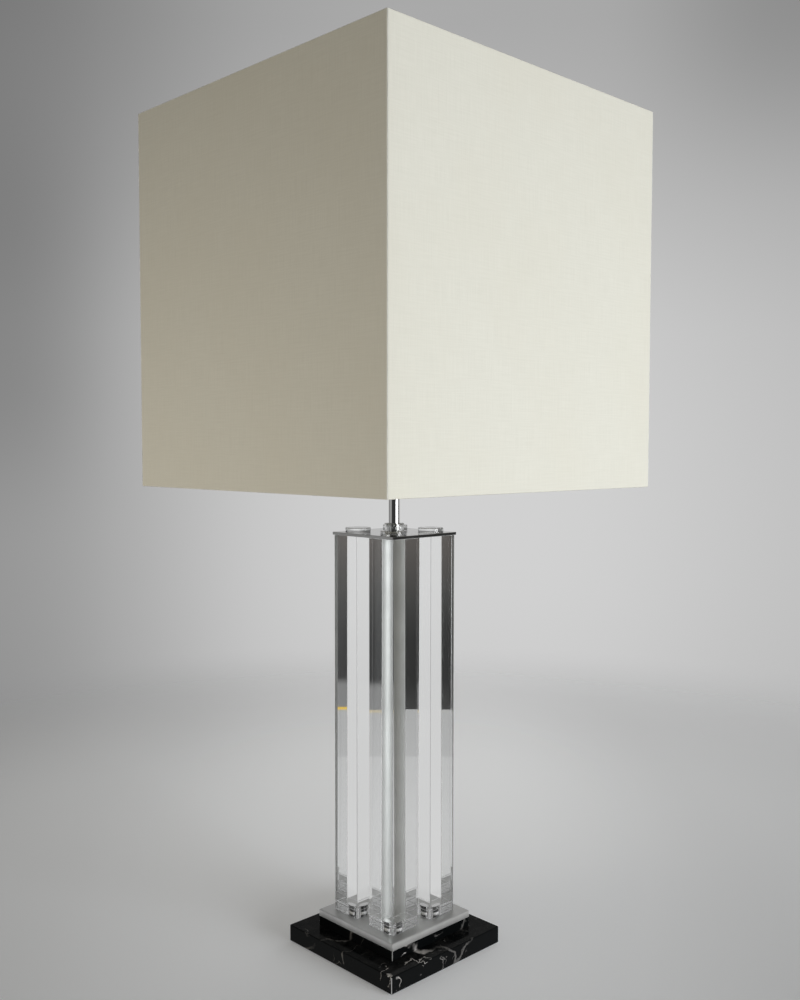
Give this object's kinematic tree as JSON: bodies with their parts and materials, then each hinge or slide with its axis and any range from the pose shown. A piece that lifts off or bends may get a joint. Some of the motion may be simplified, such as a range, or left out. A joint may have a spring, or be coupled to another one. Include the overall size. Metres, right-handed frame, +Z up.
{
  "type": "table lamp",
  "caption": "Table lamp with clear acrylic square bars on a stepped black marble foot, metal top and base plates, a chrome neck, and a square off-white hard-back shade on a harp",
  "frame": {"origin": "centre of the foot's underside, on the surface that the lamp stands on", "axes": "+Z up along the lamp pipe; the foot's, bars' and shade's sides run along X and Y; +Y is the rear, where the cord inlet is; the turn key points to -Y; the harp lies in the X-Z plane"},
  "size_m": [0.406, 0.406, 0.945],
  "materials": {
    "felt": "dense black felt",
    "marble": "polished black marble with white veins",
    "nickel": "satin nickel plate",
    "acrylic": "clear cast acrylic, polished on every side",
    "sleeve_metal": "satin-anodised aluminium tube",
    "black_steel": "black-oxide steel",
    "polished_steel": "polished steel",
    "steel": "zinc-plated steel",
    "chrome": "bright chrome",
    "harp_metal": "nickel-plated steel wire",
    "socket_brass": "thin drawn brass",
    "socket_paper": "pressed insulating paper",
    "phenolic": "moulded phenolic",
    "bushing_plastic": "moulded nylon, black",
    "bulb_metal": "rolled aluminium",
    "bulb_black_glass": "black glass",
    "bulb_frosted_glass": "inside-frosted glass",
    "filament_metal": "wire on a glass foot",
    "shade_cloth": "off-white plain-woven cloth, smooth",
    "shade_styrene": "white styrene sheet",
    "shade_wire": "white enamelled wire",
    "finial_metal": "turned, nickel plated"
  },
  "bodies": {
    "base": {"base_felt": "felt", "base_slab": "marble", "base_riser": "marble", "base_plate": "nickel", "pipe_sleeve": "sleeve_metal", "column_front": "acrylic", "column_left": "acrylic", "column_right": "acrylic", "column_back": "acrylic", "cap_button_front": "acrylic", "cap_button_left": "acrylic", "cap_button_right": "acrylic", "cap_button_back": "acrylic", "neck_collar": "acrylic", "top_plate": "polished_steel", "column_inserts": "black_steel", "column_screws": "steel", "clamp_washer": "steel", "clamp_nut": "steel", "lamp_pipe": "steel", "terminal_screws": "steel", "neck_tube": "chrome", "harp_saddle": "harp_metal", "harp": "harp_metal", "socket_cap": "socket_brass", "socket_shell": "socket_brass", "contact_thread": "socket_brass", "centre_contact": "socket_brass", "socket_liner": "socket_paper", "socket_body": "phenolic", "cord_bushing": "bushing_plastic"},
    "shade": {"shade_fabric": "shade_cloth", "shade_lining": "shade_styrene", "shade_bottom_frame": "shade_wire", "shade_top_frame": "shade_wire"},
    "finial": {"finial": "finial_metal"},
    "key": {"switch_key": "phenolic"},
    "bulb": {"bulb_tip": "bulb_metal", "bulb_insulator": "bulb_black_glass", "bulb_cap": "bulb_metal", "bulb_glass": "bulb_frosted_glass", "bulb_filament": "filament_metal"},
    "sleeve_left": {"harp_sleeve_left": "harp_metal"},
    "sleeve_right": {"harp_sleeve_right": "harp_metal"}
  },
  "joints": [
    {"name": "shade_turn", "type": "hinge", "parent": "base", "child": "shade", "pos_m": [0, 0, 0.919], "axis": [0, 0, 1], "continuous": true},
    {"name": "finial_turn", "type": "hinge", "parent": "base", "child": "finial", "pos_m": [0, 0, 0.93], "axis": [0, 0, 1], "continuous": true},
    {"name": "key_turn", "type": "hinge", "parent": "base", "child": "key", "pos_m": [0, -0.02, 0.6405], "axis": [0, -1, 0], "continuous": true},
    {"name": "bulb_turn", "type": "hinge", "parent": "base", "child": "bulb", "pos_m": [0, 0, 0.67], "axis": [0, 0, 1], "continuous": true},
    {"name": "sleeve_left_lift", "type": "slide", "parent": "base", "child": "sleeve_left", "axis": [0, 0, 1], "range_m": [0, 0.012]},
    {"name": "sleeve_right_lift", "type": "slide", "parent": "base", "child": "sleeve_right", "axis": [0, 0, 1], "range_m": [0, 0.012]}
  ]
}
